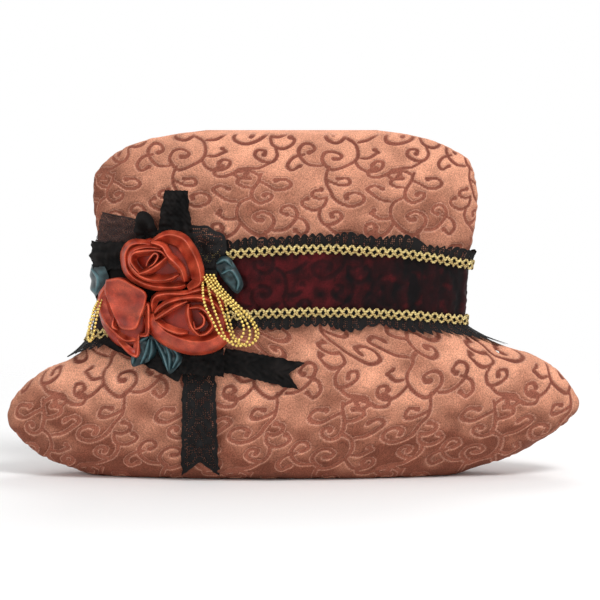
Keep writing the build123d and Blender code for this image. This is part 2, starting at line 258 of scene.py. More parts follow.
def grain_group():
    """Fine irregular grain: a height, and a colour made lighter and darker by it and by broad patches."""
    group, given, out = new_group(
        "cloth grain",
        [("Color", "NodeSocketColor", None), ("Scale", "NodeSocketFloat", 1500.0),
         ("Grain", "NodeSocketFloat", 0.15), ("Patches", "NodeSocketFloat", 0.15),
         ("Patch scale", "NodeSocketFloat", 60.0)],
        [("Color", "NodeSocketColor"), ("Height", "NodeSocketFloat")])
    nodes, link = group.nodes, group.links.new
    place = nodes.new("ShaderNodeTexCoord")
    fine = nodes.new("ShaderNodeTexNoise")
    fine.inputs["Detail"].default_value = 3
    broad = nodes.new("ShaderNodeTexNoise")
    broad.inputs["Detail"].default_value = 4
    link(given.outputs["Patch scale"], broad.inputs["Scale"])
    link(place.outputs["Object"], fine.inputs["Vector"])
    link(place.outputs["Object"], broad.inputs["Vector"])
    link(given.outputs["Scale"], fine.inputs["Scale"])
    shades = []
    for source, amount in ((fine, "Grain"), (broad, "Patches")):
        centred = nodes.new("ShaderNodeMath")
        centred.operation = "MULTIPLY_ADD"
        centred.inputs[1].default_value = 4.0
        centred.inputs[2].default_value = -2.0
        link(source.outputs["Fac"], centred.inputs[0])
        scaled = nodes.new("ShaderNodeMath")
        scaled.operation = "MULTIPLY_ADD"
        scaled.inputs[2].default_value = 1.0
        link(centred.outputs[0], scaled.inputs[0])
        link(given.outputs[amount], scaled.inputs[1])
        shades.append(scaled)
    shade = nodes.new("ShaderNodeMath")
    shade.operation = "MULTIPLY"
    for number, scaled in enumerate(shades):
        link(scaled.outputs[0], shade.inputs[number])
    tint = nodes.new("ShaderNodeVectorMath")
    tint.operation = "SCALE"
    link(given.outputs["Color"], tint.inputs[0])
    link(shade.outputs[0], tint.inputs["Scale"])
    link(tint.outputs[0], out.inputs["Color"])
    link(fine.outputs["Fac"], out.inputs["Height"])
    return group


def weave_group():
    """The threads of a woven ribbon, as a height from two crossed sets of lines."""
    group, given, out = new_group("weave", [("Threads per metre", "NodeSocketFloat", 2500.0)],
                                  [("Height", "NodeSocketFloat")])
    nodes, link = group.nodes, group.links.new
    place = nodes.new("ShaderNodeTexCoord")
    heights = []
    for direction in ("X", "Z"):
        wave = nodes.new("ShaderNodeTexWave")
        wave.bands_direction = direction
        wave.inputs["Distortion"].default_value = 0.4
        link(place.outputs["Object"], wave.inputs["Vector"])
        link(given.outputs[0], wave.inputs["Scale"])
        heights.append(wave)
    total = nodes.new("ShaderNodeMath")
    total.operation = "MULTIPLY"
    for number, wave in enumerate(heights):
        link(wave.outputs["Fac"], total.inputs[number])
    link(total.outputs[0], out.inputs[0])
    return group


def net_group():
    """Open net: 1 on a thread and 0 in a hole, from the edges of small cells."""
    group, given, out = new_group(
        "net", [("Scale", "NodeSocketFloat", 700.0), ("Thread", "NodeSocketFloat", 0.09)],
        [("Thread", "NodeSocketFloat")])
    nodes, link = group.nodes, group.links.new
    place = nodes.new("ShaderNodeTexCoord")
    cells = nodes.new("ShaderNodeTexVoronoi")
    cells.feature = "DISTANCE_TO_EDGE"
    cells.inputs["Randomness"].default_value = 0.45
    link(place.outputs["Object"], cells.inputs["Vector"])
    link(given.outputs["Scale"], cells.inputs["Scale"])
    inside = nodes.new("ShaderNodeMath")
    inside.operation = "LESS_THAN"
    link(cells.outputs["Distance"], inside.inputs[0])
    link(given.outputs["Thread"], inside.inputs[1])
    link(inside.outputs[0], out.inputs[0])
    return group


GRAIN, WEAVE, NET = grain_group(), weave_group(), net_group()


# ---- materials --------------------------------------------------------------------------------------------
def new_material(name, roughness, sheen=0.0, sheen_tint=(1, 1, 1, 1), metallic=0.0, specular=0.5):
    material = bpy.data.materials.new(name)
    material.use_nodes = True
    shader = material.node_tree.nodes["Principled BSDF"]
    shader.inputs["Roughness"].default_value = roughness
    shader.inputs["Metallic"].default_value = metallic
    shader.inputs["Specular IOR Level"].default_value = specular
    shader.inputs["Sheen Weight"].default_value = sheen
    shader.inputs["Sheen Roughness"].default_value = 0.35
    shader.inputs["Sheen Tint"].default_value = sheen_tint
    return material, material.node_tree.nodes, material.node_tree.links.new, shader


def place_group(nodes, group, **values):
    node = nodes.new("ShaderNodeGroup")
    node.node_tree = group
    for label, value in values.items():
        node.inputs[label.replace("_", " ")].default_value = value
    return node


def bump(nodes, link, height, shader, strength, distance):
    node = nodes.new("ShaderNodeBump")
    node.inputs["Strength"].default_value = strength
    node.inputs["Distance"].default_value = distance * MM
    link(height, node.inputs["Height"])
    link(node.outputs["Normal"], shader.inputs["Normal"])


def mark_mix(nodes, link, low, high, name="mark"):
    """A colour that goes from low to high with a piece's own mark."""
    mark = nodes.new("ShaderNodeAttribute")
    mark.attribute_name = name
    mix = nodes.new("ShaderNodeMix")
    mix.data_type = "RGBA"
    link(mark.outputs["Fac"], mix.inputs["Factor"])
    for socket, colour in ((mix.inputs["A"], low), (mix.inputs["B"], high)):
        if hasattr(colour, "links"):
            link(colour, socket)
        else:
            socket.default_value = colour
    return mix.outputs["Result"]


def soft_step(nodes, link, value, start, end, low, high):
    """Goes softly from low to high as the value goes from start to end."""
    step = nodes.new("ShaderNodeMapRange")
    step.interpolation_type = "SMOOTHSTEP"
    step.inputs["From Min"].default_value = start
    step.inputs["From Max"].default_value = end
    step.inputs["To Min"].default_value = low
    step.inputs["To Max"].default_value = high
    link(value, step.inputs["Value"])
    return step.outputs["Result"]


def cut_velvet():
    """Pile whose colour carries painted light and shade with random tone, and pressed scrolls painted to
    catch the light the other way.
    """
    material, nodes, link, shader = new_material(
        "cut velvet", 0.8, sheen=0.05, sheen_tint=srgb(255, 205, 175), specular=0.15)
    # Painted light and shade: the ground is painted light where the attribute is high and dark where it is
    # low, and the scroll lines the other way round.
    ground = mark_mix(nodes, link, srgb(100, 42, 28), srgb(224, 158, 128), "painted_light_and_tone")
    line = mark_mix(nodes, link, srgb(160, 98, 78), srgb(128, 72, 58), "painted_light_and_tone")
    pressed = mark_mix(nodes, link, ground, line, "scroll")
    # Painted highlight: a lighter rim along the edges of each pressed scroll line.
    mark = nodes.new("ShaderNodeAttribute")
    mark.attribute_name = "scroll"
    edge = soft_step(nodes, link, mark.outputs["Fac"], 0.05, 0.3, 0.0, 1.0)
    inside = soft_step(nodes, link, mark.outputs["Fac"], 0.35, 0.75, 0.45, 0.0)
    rim = nodes.new("ShaderNodeMath")
    rim.operation = "MULTIPLY"
    link(edge, rim.inputs[0])
    link(inside, rim.inputs[1])
    lighter = nodes.new("ShaderNodeMix")
    lighter.data_type = "RGBA"
    link(rim.outputs[0], lighter.inputs["Factor"])
    link(pressed, lighter.inputs["A"])
    lighter.inputs["B"].default_value = srgb(222, 168, 144)
    grain = place_group(nodes, GRAIN, Scale=1000.0, Grain=0.5, Patches=0.2, Patch_scale=60.0)
    link(lighter.outputs["Result"], grain.inputs["Color"])
    link(grain.outputs["Color"], shader.inputs["Base Color"])
    bump(nodes, link, grain.outputs["Height"], shader, 0.8, 0.7)
    return material


def plain_cloth(name, colour, second, roughness=0.85, sheen=0.1, grain=0.15, patches=0.2, weave=0.0):
    material, nodes, link, shader = new_material(name, roughness, sheen, colour, specular=0.12)
    texture = place_group(nodes, GRAIN, Scale=1300.0, Grain=grain, Patches=patches)
    link(mark_mix(nodes, link, colour, second), texture.inputs["Color"])
    link(texture.outputs["Color"], shader.inputs["Base Color"])
    height = texture.outputs["Height"]
    if weave:
        height = place_group(nodes, WEAVE, Threads_per_metre=weave).outputs[0]
    bump(nodes, link, height, shader, 0.35, 0.25)
    return material


def satin(name, colour, fold, roughness=0.38):
    """Woven satin: smooth, with folds painted lighter as painted highlight where its mark is high."""
    material, nodes, link, shader = new_material(name, roughness, 0.35, fold, specular=0.35)
    texture = place_group(nodes, GRAIN, Scale=1300.0, Grain=0.3, Patches=0.5, Patch_scale=100.0)
    link(mark_mix(nodes, link, colour, fold), texture.inputs["Color"])
    link(texture.outputs["Color"], shader.inputs["Base Color"])
    weave = place_group(nodes, WEAVE, Threads_per_metre=1600.0)
    bump(nodes, link, weave.outputs[0], shader, 0.12, 0.12)
    return material


def open_net(name, colour, scale, thread, roughness=0.8):
    """Cloth with holes between its threads, closed up where its mark is high."""
    material, nodes, link, shader = new_material(name, roughness, 0.1, colour, specular=0.3)
    texture = place_group(nodes, GRAIN, Scale=1500.0, Grain=0.25, Patches=0.1)
    texture.inputs["Color"].default_value = colour
    link(texture.outputs["Color"], shader.inputs["Base Color"])
    net = place_group(nodes, NET, Scale=scale, Thread=thread)
    mark = nodes.new("ShaderNodeAttribute")
    mark.attribute_name = "mark"
    most = nodes.new("ShaderNodeMath")
    most.operation = "MAXIMUM"
    link(net.outputs[0], most.inputs[0])
    link(mark.outputs["Fac"], most.inputs[1])
    whole = nodes.new("ShaderNodeMath")
    whole.operation = "GREATER_THAN"
    whole.inputs[1].default_value = 0.5
    link(most.outputs[0], whole.inputs[0])
    link(whole.outputs[0], shader.inputs["Alpha"])
    bump(nodes, link, texture.outputs["Height"], shader, 0.4, 0.3)
    return material


def gold_thread():
    material, nodes, link, shader = new_material("gold thread", 0.45, metallic=0.4, specular=0.6)
    texture = place_group(nodes, GRAIN, Scale=2400.0, Grain=0.35, Patches=0.12)
    link(mark_mix(nodes, link, srgb(132, 98, 44), srgb(255, 236, 164)), texture.inputs["Color"])
    link(texture.outputs["Color"], shader.inputs["Base Color"])
    bump(nodes, link, texture.outputs["Height"], shader, 0.6, 0.2)
    return material


def gold_bead():
    material, nodes, link, shader = new_material("gold beads", 0.28, metallic=0.7, specular=0.6)
    texture = place_group(nodes, GRAIN, Scale=420.0, Grain=0.12, Patches=0.1)
    link(mark_mix(nodes, link, srgb(60, 44, 22), srgb(240, 210, 118)), texture.inputs["Color"])
    link(texture.outputs["Color"], shader.inputs["Base Color"])
    return material


BLACK = srgb(12, 9, 9)
VELVET = cut_velvet()
BASE_CLOTH = plain_cloth("base cloth", srgb(132, 84, 66), srgb(150, 98, 78))
STUFFING = plain_cloth("stuffing", srgb(232, 230, 222), srgb(240, 238, 230))
BAND_VELVET = plain_cloth("band velvet", srgb(9, 4, 6), srgb(74, 15, 19), 0.6, 0.03, 0.6, 0.5)
LACE = open_net("lace", BLACK, 620.0, 0.22)
TULLE = open_net("tulle", srgb(46, 32, 30), 1100.0, 0.24)
RIBBON = plain_cloth("black ribbon", srgb(8, 7, 7), srgb(26, 22, 21), 0.7, 0.0, 0.12, 0.2, 1500.0)
FELT = plain_cloth("felt", srgb(24, 21, 20), srgb(34, 30, 28))
ROSE_SATIN = satin("rose satin", srgb(150, 46, 28), srgb(226, 104, 72), 0.33)
LEAF_SATIN = satin("leaf satin", srgb(18, 36, 40), srgb(84, 118, 124), 0.33)
GOLD_THREAD, GOLD_BEAD = gold_thread(), gold_bead()
THREAD = plain_cloth("thread", srgb(20, 18, 17), srgb(40, 36, 34))


# ---- camera -----------------------------------------------------------------------------------------------
def make_camera():
    """Level with the cushion's middle and a little above it, far enough to flatten the view."""
    view_width, far, rise = 531.0, 2000.0, math.radians(4.0)
    aim = Vector((6.2, 0.0, 154.5)) * MM
    camera = bpy.data.objects.new("camera", bpy.data.cameras.new("camera"))
    bpy.context.scene.collection.objects.link(camera)
    camera.data.lens = camera.data.sensor_width * far / view_width
    camera.location = aim + Vector((0, -math.cos(rise), math.sin(rise))) * far * MM
    camera.rotation_euler = (math.pi / 2 - rise, 0, 0)
    bpy.context.scene.camera = camera


make_camera()

# ---- beaded strings ---------------------------------------------------------------------------------------
BEAD_DIAMETER, BEAD_PITCH = 2.5, 3.3
STRING_RADIUS, PATH_PITCH = 0.45, 1.0
# The points that each string's smooth line is drawn by. The right strings hang to the right of their solids.
BEAD_ROUTES = {
    "bead_loop_right_1": [(-67.6, -62.0, 177.2), (-59.0, -69.0, 167.0), (-46.0, -74.0, 154.5),
                          (-33.0, -78.0, 142.5), (-27.5, -79.0, 129.5), (-36.5, -79.5, 119.8),
                          (-48.5, -79.5, 124.5), (-52.5, -79.5, 138.0), (-56.0, -78.3, 152.5),
                          (-60.5, -71.0, 166.0), (-67.6, -64.4, 180.3)],
    "bead_loop_right_2": [(-70.7, -61.6, 177.2), (-66.0, -73.0, 167.5), (-60.5, -79.0, 153.5),
                          (-56.0, -83.0, 140.5), (-52.0, -83.0, 128.5), (-44.0, -83.0, 121.0),
                          (-34.5, -83.0, 121.8), (-30.0, -82.8, 131.5), (-36.5, -82.0, 145.5),
                          (-50.0, -79.5, 157.5), (-64.5, -72.5, 170.0), (-70.7, -64.0, 180.3)],
    "bead_loop_right_3": [(-73.8, -61.2, 177.2), (-71.5, -74.5, 168.0), (-67.5, -83.0, 154.0),
                          (-62.0, -87.0, 141.0), (-58.0, -87.0, 129.0), (-49.5, -87.0, 121.0),
                          (-39.5, -86.8, 122.3), (-35.0, -86.5, 132.5), (-41.0, -86.0, 146.0),
                          (-53.0, -82.0, 158.5), (-68.0, -74.5, 170.5), (-73.8, -63.5, 180.3)],
    "bead_loop_right_4": [(-76.9, -60.8, 177.2), (-77.0, -75.5, 168.5), (-74.5, -86.0, 155.0),
                          (-67.5, -90.8, 143.5), (-63.0, -91.0, 132.5), (-54.5, -91.0, 125.0),
                          (-44.5, -90.7, 126.2), (-40.0, -90.5, 136.0), (-46.0, -89.5, 149.5),
                          (-58.5, -84.5, 161.0), (-71.5, -75.0, 172.0), (-76.9, -63.1, 180.3)],
    "bead_loop_left_1": [(-169.8, -26.0, 154.1), (-174.5, -25.5, 145.5), (-178.2, -24.5, 135.5),
                         (-179.3, -24.5, 125.0), (-177.5, -33.5, 119.7), (-173.5, -42.5, 124.0),
                         (-171.3, -43.0, 135.5), (-168.9, -40.0, 147.5), (-166.5, -31.3, 156.7)],
    "bead_loop_left_2": [(-167.5, -27.7, 154.1), (-171.0, -29.3, 146.8), (-174.5, -29.5, 139.5),
                         (-177.2, -32.5, 131.5), (-178.0, -41.0, 127.0), (-176.3, -50.0, 131.8),
                         (-173.5, -49.5, 142.5), (-172.5, -41.0, 151.0), (-168.8, -29.5, 156.7)],
}


def route_line(name, points):
    """Close points, in mm, along the smooth curve that a route's points control."""
    curve = bpy.data.curves.new(name, "CURVE")
    curve.dimensions = "3D"
    spline = curve.splines.new("NURBS")
    spline.points.add(len(points) - 1)
    for point, place in zip(spline.points, points):
        point.co = (*(v * MM for v in place), 1)
    spline.order_u = 3
    spline.use_endpoint_u = True
    spline.resolution_u = 16
    holder = bpy.data.objects.new(name, curve)
    bpy.context.scene.collection.objects.link(holder)
    bpy.context.view_layer.update()
    mesh = bpy.data.meshes.new_from_object(holder)
    line = np.array([v.co[:] for v in mesh.vertices]) / MM
    bpy.data.objects.remove(holder)
    return line


def evenly(line, pitch):
    """Points that far apart along a line, its ends among them, and how far along each is."""
    along = np.concatenate([[0], np.cumsum(np.linalg.norm(np.diff(line, axis=0), axis=1))])
    count = max(2, round(along[-1] / pitch) + 1)
    wanted = np.linspace(0, along[-1], count)
    return np.stack([np.interp(wanted, along, line[:, i]) for i in range(3)], axis=-1), along[-1]


def beaded_string(name, body):
    """Round beads close together on a thread."""
    line = route_line(name, BEAD_ROUTES[name])
    places, length = evenly(line, BEAD_PITCH)
    string = Piece()
    string.tube(evenly(line, PATH_PITCH)[0], STRING_RADIUS, 5, mark=0.3)
    turn = np.linspace(0, 2 * math.pi, 10, endpoint=False)
    rise = np.linspace(-math.pi / 2, math.pi / 2, 7)
    ball = np.stack([np.cos(rise)[:, None] * np.cos(turn), np.cos(rise)[:, None] * np.sin(turn),
                     np.sin(rise)[:, None] + 0 * turn], axis=-1) * BEAD_DIAMETER / 2
    for place in places:
        string.add(place + ball, ring=True, mark=1.0)
    piece = string.build(name + "_beads", GOLD_BEAD, body, name)


for route in BEAD_ROUTES:
    beaded_string(route, "bead_bunch_right" if "right" in route else "bead_bunch_left")


# ---- thread ties ------------------------------------------------------------------------------------------
THREAD_PITCH = 0.9


def wound_tie(name, middle, along, length, radius, body):
    """Thread wound side by side round the tops of a bunch's strings."""
    along = np.array(along)
    along /= np.linalg.norm(along)
    side = np.cross(along, (0, 0, 1.0))
    turns = length / THREAD_PITCH
    t = np.linspace(0, 1, int(turns * 14))
    angle = t * turns * 2 * math.pi
    helix = (np.array(middle) + (t - 0.5)[:, None] * length * along
             + (radius - THREAD_PITCH / 2) * (np.cos(angle)[:, None] * side
                                              + np.sin(angle)[:, None] * np.array((0, 0, 1.0))))
    tie = Piece()
    tie.tube(helix, 0.5, 5, mark=0.3)
    tie.tube(np.array(middle) + np.linspace(-0.5, 0.5, 12)[:, None] * length * along, radius - 0.5, 12)
    tie.build(name + "_thread", THREAD, body, name)


wound_tie("bead_tie_right", (-72.3, -59.54, 181), (0.9903, -0.1392, 0), 14.5, 3.5, "bead_bunch_right")
wound_tie("bead_tie_left", (-166.4, -25.9, 158), (0.7986, -0.6018, 0), 9.5, 3.5, "bead_bunch_left")

# ---- velvet panels ----------------------------------------------------------------------------------------
# One tile of the scrolls, each a line through its points, in mm across and up.
TILE_WIDTH, TILE_HEIGHT = 133.0, 70.0
TILE_CORNER, ROW_STAGGER = (-9, -6), 37
SCROLL_DEPTH, SCROLL_EDGE = 1.15, 1.1
SCROLLS = [
    [(48.5, 75.6), (50.8, 66.6), (55.3, 58.7), (57, 51.9), (55.3, 46.3), (49.7, 42.9), (41.8, 46.3),
     (39.5, 51.9), (43.5, 53.6), (46.3, 51.4)],
    [(48.5, 66.6), (42.9, 63.2), (35, 58.1), (26, 59.8), (22.6, 64.3), (27.1, 69.4), (36.1, 68.8)],
    [(56.4, 59.3), (63.2, 60.4), (68.8, 64.3), (66.6, 68.8), (58.7, 70)],
    [(59.8, 47.4), (66.6, 42.9), (70, 33.9), (68.8, 24.8), (63.2, 16.9), (54.2, 10.7), (47.4, 10.2),
     (38.4, 20.3), (40.6, 29.3), (48.5, 32.2), (55.3, 28.2), (53, 23.7), (48.5, 23.7)],
    [(70, 44), (79, 46.3), (86.9, 53), (90.3, 57.6), (83.5, 61.5), (76.7, 58.1)],
    [(72.2, 24.8), (79, 24.3), (85.8, 29.3), (88, 30.5), (84.7, 33.9)],
    [(124.2, 83.5), (125.3, 74.5), (125.3, 64.3), (121.9, 55.3), (119.6, 48.5), (112.9, 41.8),
     (103.8, 38.9), (94.8, 42.9), (93.7, 49.7), (100.5, 53.6), (108.4, 51.4), (108.4, 47.4)],
    [(125.3, 68.8), (118.5, 64.3), (110.6, 61.5), (105, 64.3), (107.2, 70), (115.1, 69.4)],
    [(125.3, 48.5), (132.1, 47.4), (137.7, 50.8), (136.6, 55.3), (129.8, 57.6)],
    [(125.3, 46.3), (128.7, 38.4), (136.6, 35), (144.5, 38.4), (146.7, 44), (142.2, 47.4)],
    [(130.9, 36.1), (132.1, 27.1), (127.5, 19.2), (119.6, 20.3), (112.9, 26), (115.1, 32.2),
     (121.9, 31.6), (120.8, 27.1)],
    [(38.5, 14), (29, 15), (21, 22), (18, 31), (22, 39), (29, 39), (32, 33), (27, 30)],
    [(66.5, 21), (73, 12), (82, 8), (91, 11), (92, 18), (86, 20), (83, 16)],
    [(127, 19), (118, 12), (110, 11), (101, 9), (99, 3), (105, 0), (109, 5)],
    [(49.5, 73), (59, 78), (70, 76), (79, 72), (88, 73), (89, 80), (83, 82)],
    [(22.5, 28), (13, 24), (9, 16), (14, 10), (20, 14)],
]


def scroll_finder():
    """Every repeat of the scrolls as a search tree, and how wide the line is at each of its points."""
    tile, widths = [], []
    for points in SCROLLS:
        line, _ = evenly(np.insert(through(points, 60), 2, 0, axis=1), 0.9)
        share = np.linspace(0, 1, len(line))
        tile.append(line[:, :2])
        widths.append(2.15 - 0.5 * np.abs(2 * share - 1) + 1.1 * np.exp(-((1 - share) / 0.06) ** 2))
    tile, widths = np.concatenate(tile), np.concatenate(widths)
    placed = []
    for row in range(-2, 7):
        for col in range(-4, 5):
            move = (col * TILE_WIDTH + (row % 2) * ROW_STAGGER + TILE_CORNER[0],
                    row * TILE_HEIGHT + TILE_CORNER[1])
            turned = tile if row % 2 == 0 else tile * (-1, 1) + (TILE_WIDTH, 0)
            placed.append(turned + move)
    places = np.concatenate(placed)
    tree = kdtree.KDTree(len(places))
    for number, (u, v) in enumerate(places):
        tree.insert((u, v, 0), number)
    tree.balance()
    return tree, np.tile(widths, len(placed))


SCROLL_TREE, SCROLL_WIDTHS = scroll_finder()


def scroll_mark(u, v):
    """1 on a scroll and 0 off it, at each place."""
    found = np.empty(u.size)
    for number, (a, b) in enumerate(zip(u.ravel(), v.ravel())):
        _, index, distance = SCROLL_TREE.find((a, b, 0))
        found[number] = np.clip((SCROLL_WIDTHS[index] - distance) / SCROLL_EDGE + 0.5, 0, 1)
    return found.reshape(u.shape)


def panel_rows(count):
    """Heights evenly far apart along the cushion's outline, from the base to the top seam."""
    z = np.linspace(0, TOP_Z, 4000)
    _, half, depth = level_at(z)
    along = np.concatenate([[0], np.cumsum(np.sqrt(np.diff(z)**2 + np.diff((half + 3 * depth) / 3)**2))])
    return np.interp(np.linspace(0, along[-1], count), along, z)


def even_angles(count):
    """Angles from the left seam round the front to the right one, evenly far apart along it."""
    angle = np.linspace(-math.pi / 2, math.pi / 2, 2000)
    step = np.sqrt(np.cos(angle)**2 + (0.28 * np.sin(angle))**2)
    along = np.concatenate([[0], np.cumsum((step[1:] + step[:-1]) / 2)])
    return np.interp(np.linspace(0, along[-1], count), along, angle)


def grid_normals(grid):
    across, up = np.gradient(grid, axis=1), np.gradient(grid, axis=0)
    normal = np.cross(across, up)
    return normal / (np.linalg.norm(normal, axis=-1, keepdims=True) + 1e-9)


def bell(value, middle, width):
    return np.exp(-((value - middle) / width) ** 2)


def panel_lumps(x, z, from_seam, seed):
    """Soft lumps of the filling, drawn-in sewing at the seams and the creases where the parts meet."""
    lumps = 1.9 * waves(seed, 16, 45, 130)(x, z) + 0.7 * waves(seed + 1, 20, 16, 38)(x, z)
    under_trim = np.clip(1 - bell(z, 170, 46) * (np.abs(x) < 176), 0.08, 1)
    drawn = np.exp(-from_seam / 14)
    wander = 1.5 * waves(seed + 2, 8, 20, 60)(x, z)
    pucker = 0.3 * drawn * np.sin(2 * math.pi * (z + 0.25 * x) / 10.5 + wander)
    low_right = bell(x, 205, 32) * bell(z, 32, 24)
    folds = 1.5 * low_right * np.sin(2 * math.pi * (z * 0.8 - 0.45 * (x - 200)) / 19)
    low_left = bell(x, -215, 26) * bell(z, 26, 20)
    folds += 1.3 * low_left * np.sin(2 * math.pi * (z * 0.8 + 0.5 * (x + 200)) / 21)
    crease = -3.0 * bell(z, 107 - 0.12 * (x + 186), 6) * bell(x, -186, 14)
    crease -= 2.2 * bell(z, 112, 6) * bell(x, 182, 16)
    edge = -1.3 * np.exp(-(from_seam / 2.2) ** 2)
    ends = np.clip(z / 12, 0, 1) * np.clip((TOP_Z - z) / 8, 0, 1)
    return ((lumps * under_trim + folds + crease) * np.clip(from_seam / 16, 0, 1) + pucker + edge) * ends


def velvet_panel(name, front):
    rows, cols = ((258, 348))
    z = panel_rows(rows)[:, None] + np.zeros(cols)
    angle = even_angles(cols) + (0 if front else math.pi)
    plain = on_skin(angle[None, :], z)
    x = plain[..., 0]
    step = np.linalg.norm(np.diff(plain, axis=1), axis=-1)
    u = np.concatenate([np.zeros((rows, 1)), np.cumsum(step, axis=1)], axis=1)
    from_seam = np.minimum(u, u[:, -1:] - u)
    u = u - u[:, cols // 2][:, None]
    outward = grid_normals(plain)
    seed = 11 if front else 71
    shape = plain + panel_lumps(x, z, from_seam, seed)[..., None] * outward
    stretched = z + 0.3 * np.clip(z - 225, 0, 80) - 0.25 * np.clip(40 - z, 0, 40)
    scroll = scroll_mark(u + (0 if front else 61), stretched)
    scroll *= np.clip(from_seam / 3 - 0.6, 0, 1) * np.clip((TOP_Z - z) / 3 - 0.5, 0, 1)
    shape -= (SCROLL_DEPTH * scroll)[..., None] * outward
    shape[..., 2] = np.clip(shape[..., 2], 0.3, None)
    lit = grid_normals(shape)
    # Painted light and shade, with random tone from the waves: lighter where the surface faces up, along the
    # brim's top and at the crown's right, darker at the crown's left and the brim's low left.
    painted_light_and_tone = 0.40 + 0.55 * lit[..., 2] + 0.16 * waves(seed + 5, 24, 14, 90)(x, z)
    crown = np.clip((z - 118) / 20, 0, 1)
    painted_light_and_tone += 0.10 * waves(seed + 7, 20, 30, 120)(x, z * 1.6)
    painted_light_and_tone += 0.3 * bell(z, 92, 20) * (1 - crown) + 0.14 * crown * np.clip((x - 60) / 80, 0, 1)
    painted_light_and_tone += crown * (0.08 - 0.3 * np.clip(-(x + 110) / 60, 0, 1)) - 0.16 * bell(x, -235, 40) * (1 - crown)
    panel = Piece()
    panel.add(shape, mark=0.0)
    made = panel.build(name + "_velvet", VELVET, ROOT, name)
    for label, values in (("scroll", scroll), ("painted_light_and_tone", np.clip(painted_light_and_tone, 0.14, 1))):
        attribute = made.data.attributes.new(label, "FLOAT", "POINT")
        attribute.data.foreach_set("value", values.astype(np.float32).ravel())


velvet_panel("front_panel", True)
velvet_panel("back_panel", False)


def area_of(piece):
    """Area of a piece's cloth, in square metres."""
    bpy.context.view_layer.update()
    mesh = piece.evaluated_get(bpy.context.evaluated_depsgraph_get()).to_mesh()
    return sum(face.area for face in mesh.polygons)


def declare_sheet(piece):
    """Works out the area of a piece's cloth, and does nothing more with it."""
    area = area_of(piece)


def oval_grid(middle, half, turn, place, rings=14, cols=72, wobble=0.0, seed=3):
    """An oval patch on the front: place(x, z, share) gives its points."""
    angle = np.linspace(0, 2 * math.pi, cols, endpoint=False)
    share = np.linspace(0.02, 1, rings)[:, None]
    edge = 1 + wobble * waves(seed, 9, 0.5, 2)(np.cos(angle), np.sin(angle))
    a, b = half[0] * share * edge * np.cos(angle), half[1] * share * edge * np.sin(angle)
    c, s = math.cos(math.radians(turn)), math.sin(math.radians(turn))
    return place(middle[0] + a * c - b * s, middle[1] + a * s + b * c, share + 0 * angle)


def base_panel():
    base = Piece()
    middle, half, depth = level_at(0.0)
    angle = np.linspace(0, 2 * math.pi, 160, endpoint=False)
    share = np.linspace(0.02, 1, 24)[:, None]
    x, y = middle + half * share * np.cos(angle), depth * share * np.sin(angle)
    z = 0.25 + 0.2 * waves(5, 12, 12, 40)(x, y) * (1 - share)
    base.add(np.stack([x, y, z], axis=-1), ring=True, flip=True)
    piece = base.build("base_panel_cloth", BASE_CLOTH, ROOT, "base_panel")
    width, length = 2 * float(half) * MM, 2 * float(depth) * MM
    min(area_of(piece), width * length)


FILLING_INSET = 11


def filling():
    """The stuffing, far enough inside the panels that it never shows."""
    inside = Piece()
    z = np.linspace(8, TOP_Z - 14, 60)[:, None]
    angle = np.linspace(-math.pi, math.pi, 120, endpoint=False)[None, :]
    middle, half, depth = level_at(z + 0 * angle)
    x = middle + (half - FILLING_INSET) * np.sin(angle)
    y = -np.clip(depth - FILLING_INSET, 0.4, None) * np.cos(angle)
    grid = np.stack([x, y, z + 0 * angle], axis=-1)
    ends = [np.repeat(grid[k].mean(axis=0)[None, None], 120, axis=1) for k in (0, -1)]
    inside.add(np.concatenate([ends[0], grid, ends[1]]), ring=True)
    inside.build("filling_stuffing", STUFFING, ROOT, "filling")


base_panel()
filling()


# ---- band, braids and lace round the crown ----------------------------------------------------------------
CROWN_ROUND, BRAID_ROUND = 760, 755
BAND_WIDTH = 56


def ring_place(angle, edge, up, off):
    """Points round the crown, up from one of the band's edges, standing off the velvet."""
    crest, radius = edge
    z = np.full(np.shape(angle), crest - 10)
    for _ in range(3):
        middle, half, _ = level_at(z)
        z = edge_z(crest, radius, middle + half * np.sin(angle)) + up
    return on_skin(angle, z, off)


TOP_EDGE, FOOT_EDGE = (BAND_TOP_Z, BAND_TOP_RADIUS), (BAND_FOOT_Z, BAND_FOOT_RADIUS)


def ring_angles(count):
    half_way = even_angles(count // 2 + 1)[:-1]
    return np.concatenate([half_way, half_way + math.pi])


def hat_band():
    cols, rows = 720, 44
    angle, share = ring_angles(cols), np.linspace(0, 1, rows)[:, None]
    along = np.linspace(0, CROWN_ROUND, cols)
    crush = waves(23, 40, 4, 30)(along, share * BAND_WIDTH)
    gathers = waves(21, 26, 5, 22)(along, share * 9) + 0.4 * waves(22, 20, 6, 16)(along, share * 50)
    top = ring_place(angle, TOP_EDGE, 0, 0)[:, 2]
    foot = ring_place(angle, FOOT_EDGE, 0, 0)[:, 2]
    off = BAND_OFF + 0.7 + 0.6 * gathers + 1.1 * np.sin(math.pi * share)
    grid = on_skin(angle + 0 * share, foot + share * (top - foot), off)
    x = grid[..., 0]
    scroll = scroll_mark(along + 0 * share, grid[..., 2] - 4)
    grid = on_skin(angle + 0 * share, foot + share * (top - foot), off - 0.5 * scroll)
    # Painted light: the mark is high, red, across the band's front middle where the light falls and low, near
    # black, elsewhere; crushed patches and gathers get painted highlights, and the scrolls are darker.
    lit = 0.8 * bell(x, -5, 62) * (grid[..., 1] < 0) * (0.85 + 0.5 * crush)
    red = (1 - 0.75 * scroll) * lit + 0.08 + 0.1 * gathers
    red += 0.5 * np.clip(crush - 0.62, 0, 1)
    band = Piece()
    band.add(grid, ring=True, mark=np.clip(red, 0, 1))
    piece = band.build("hat_band_velvet", BAND_VELVET, ROOT, "hat_band")
    declare_sheet(piece)


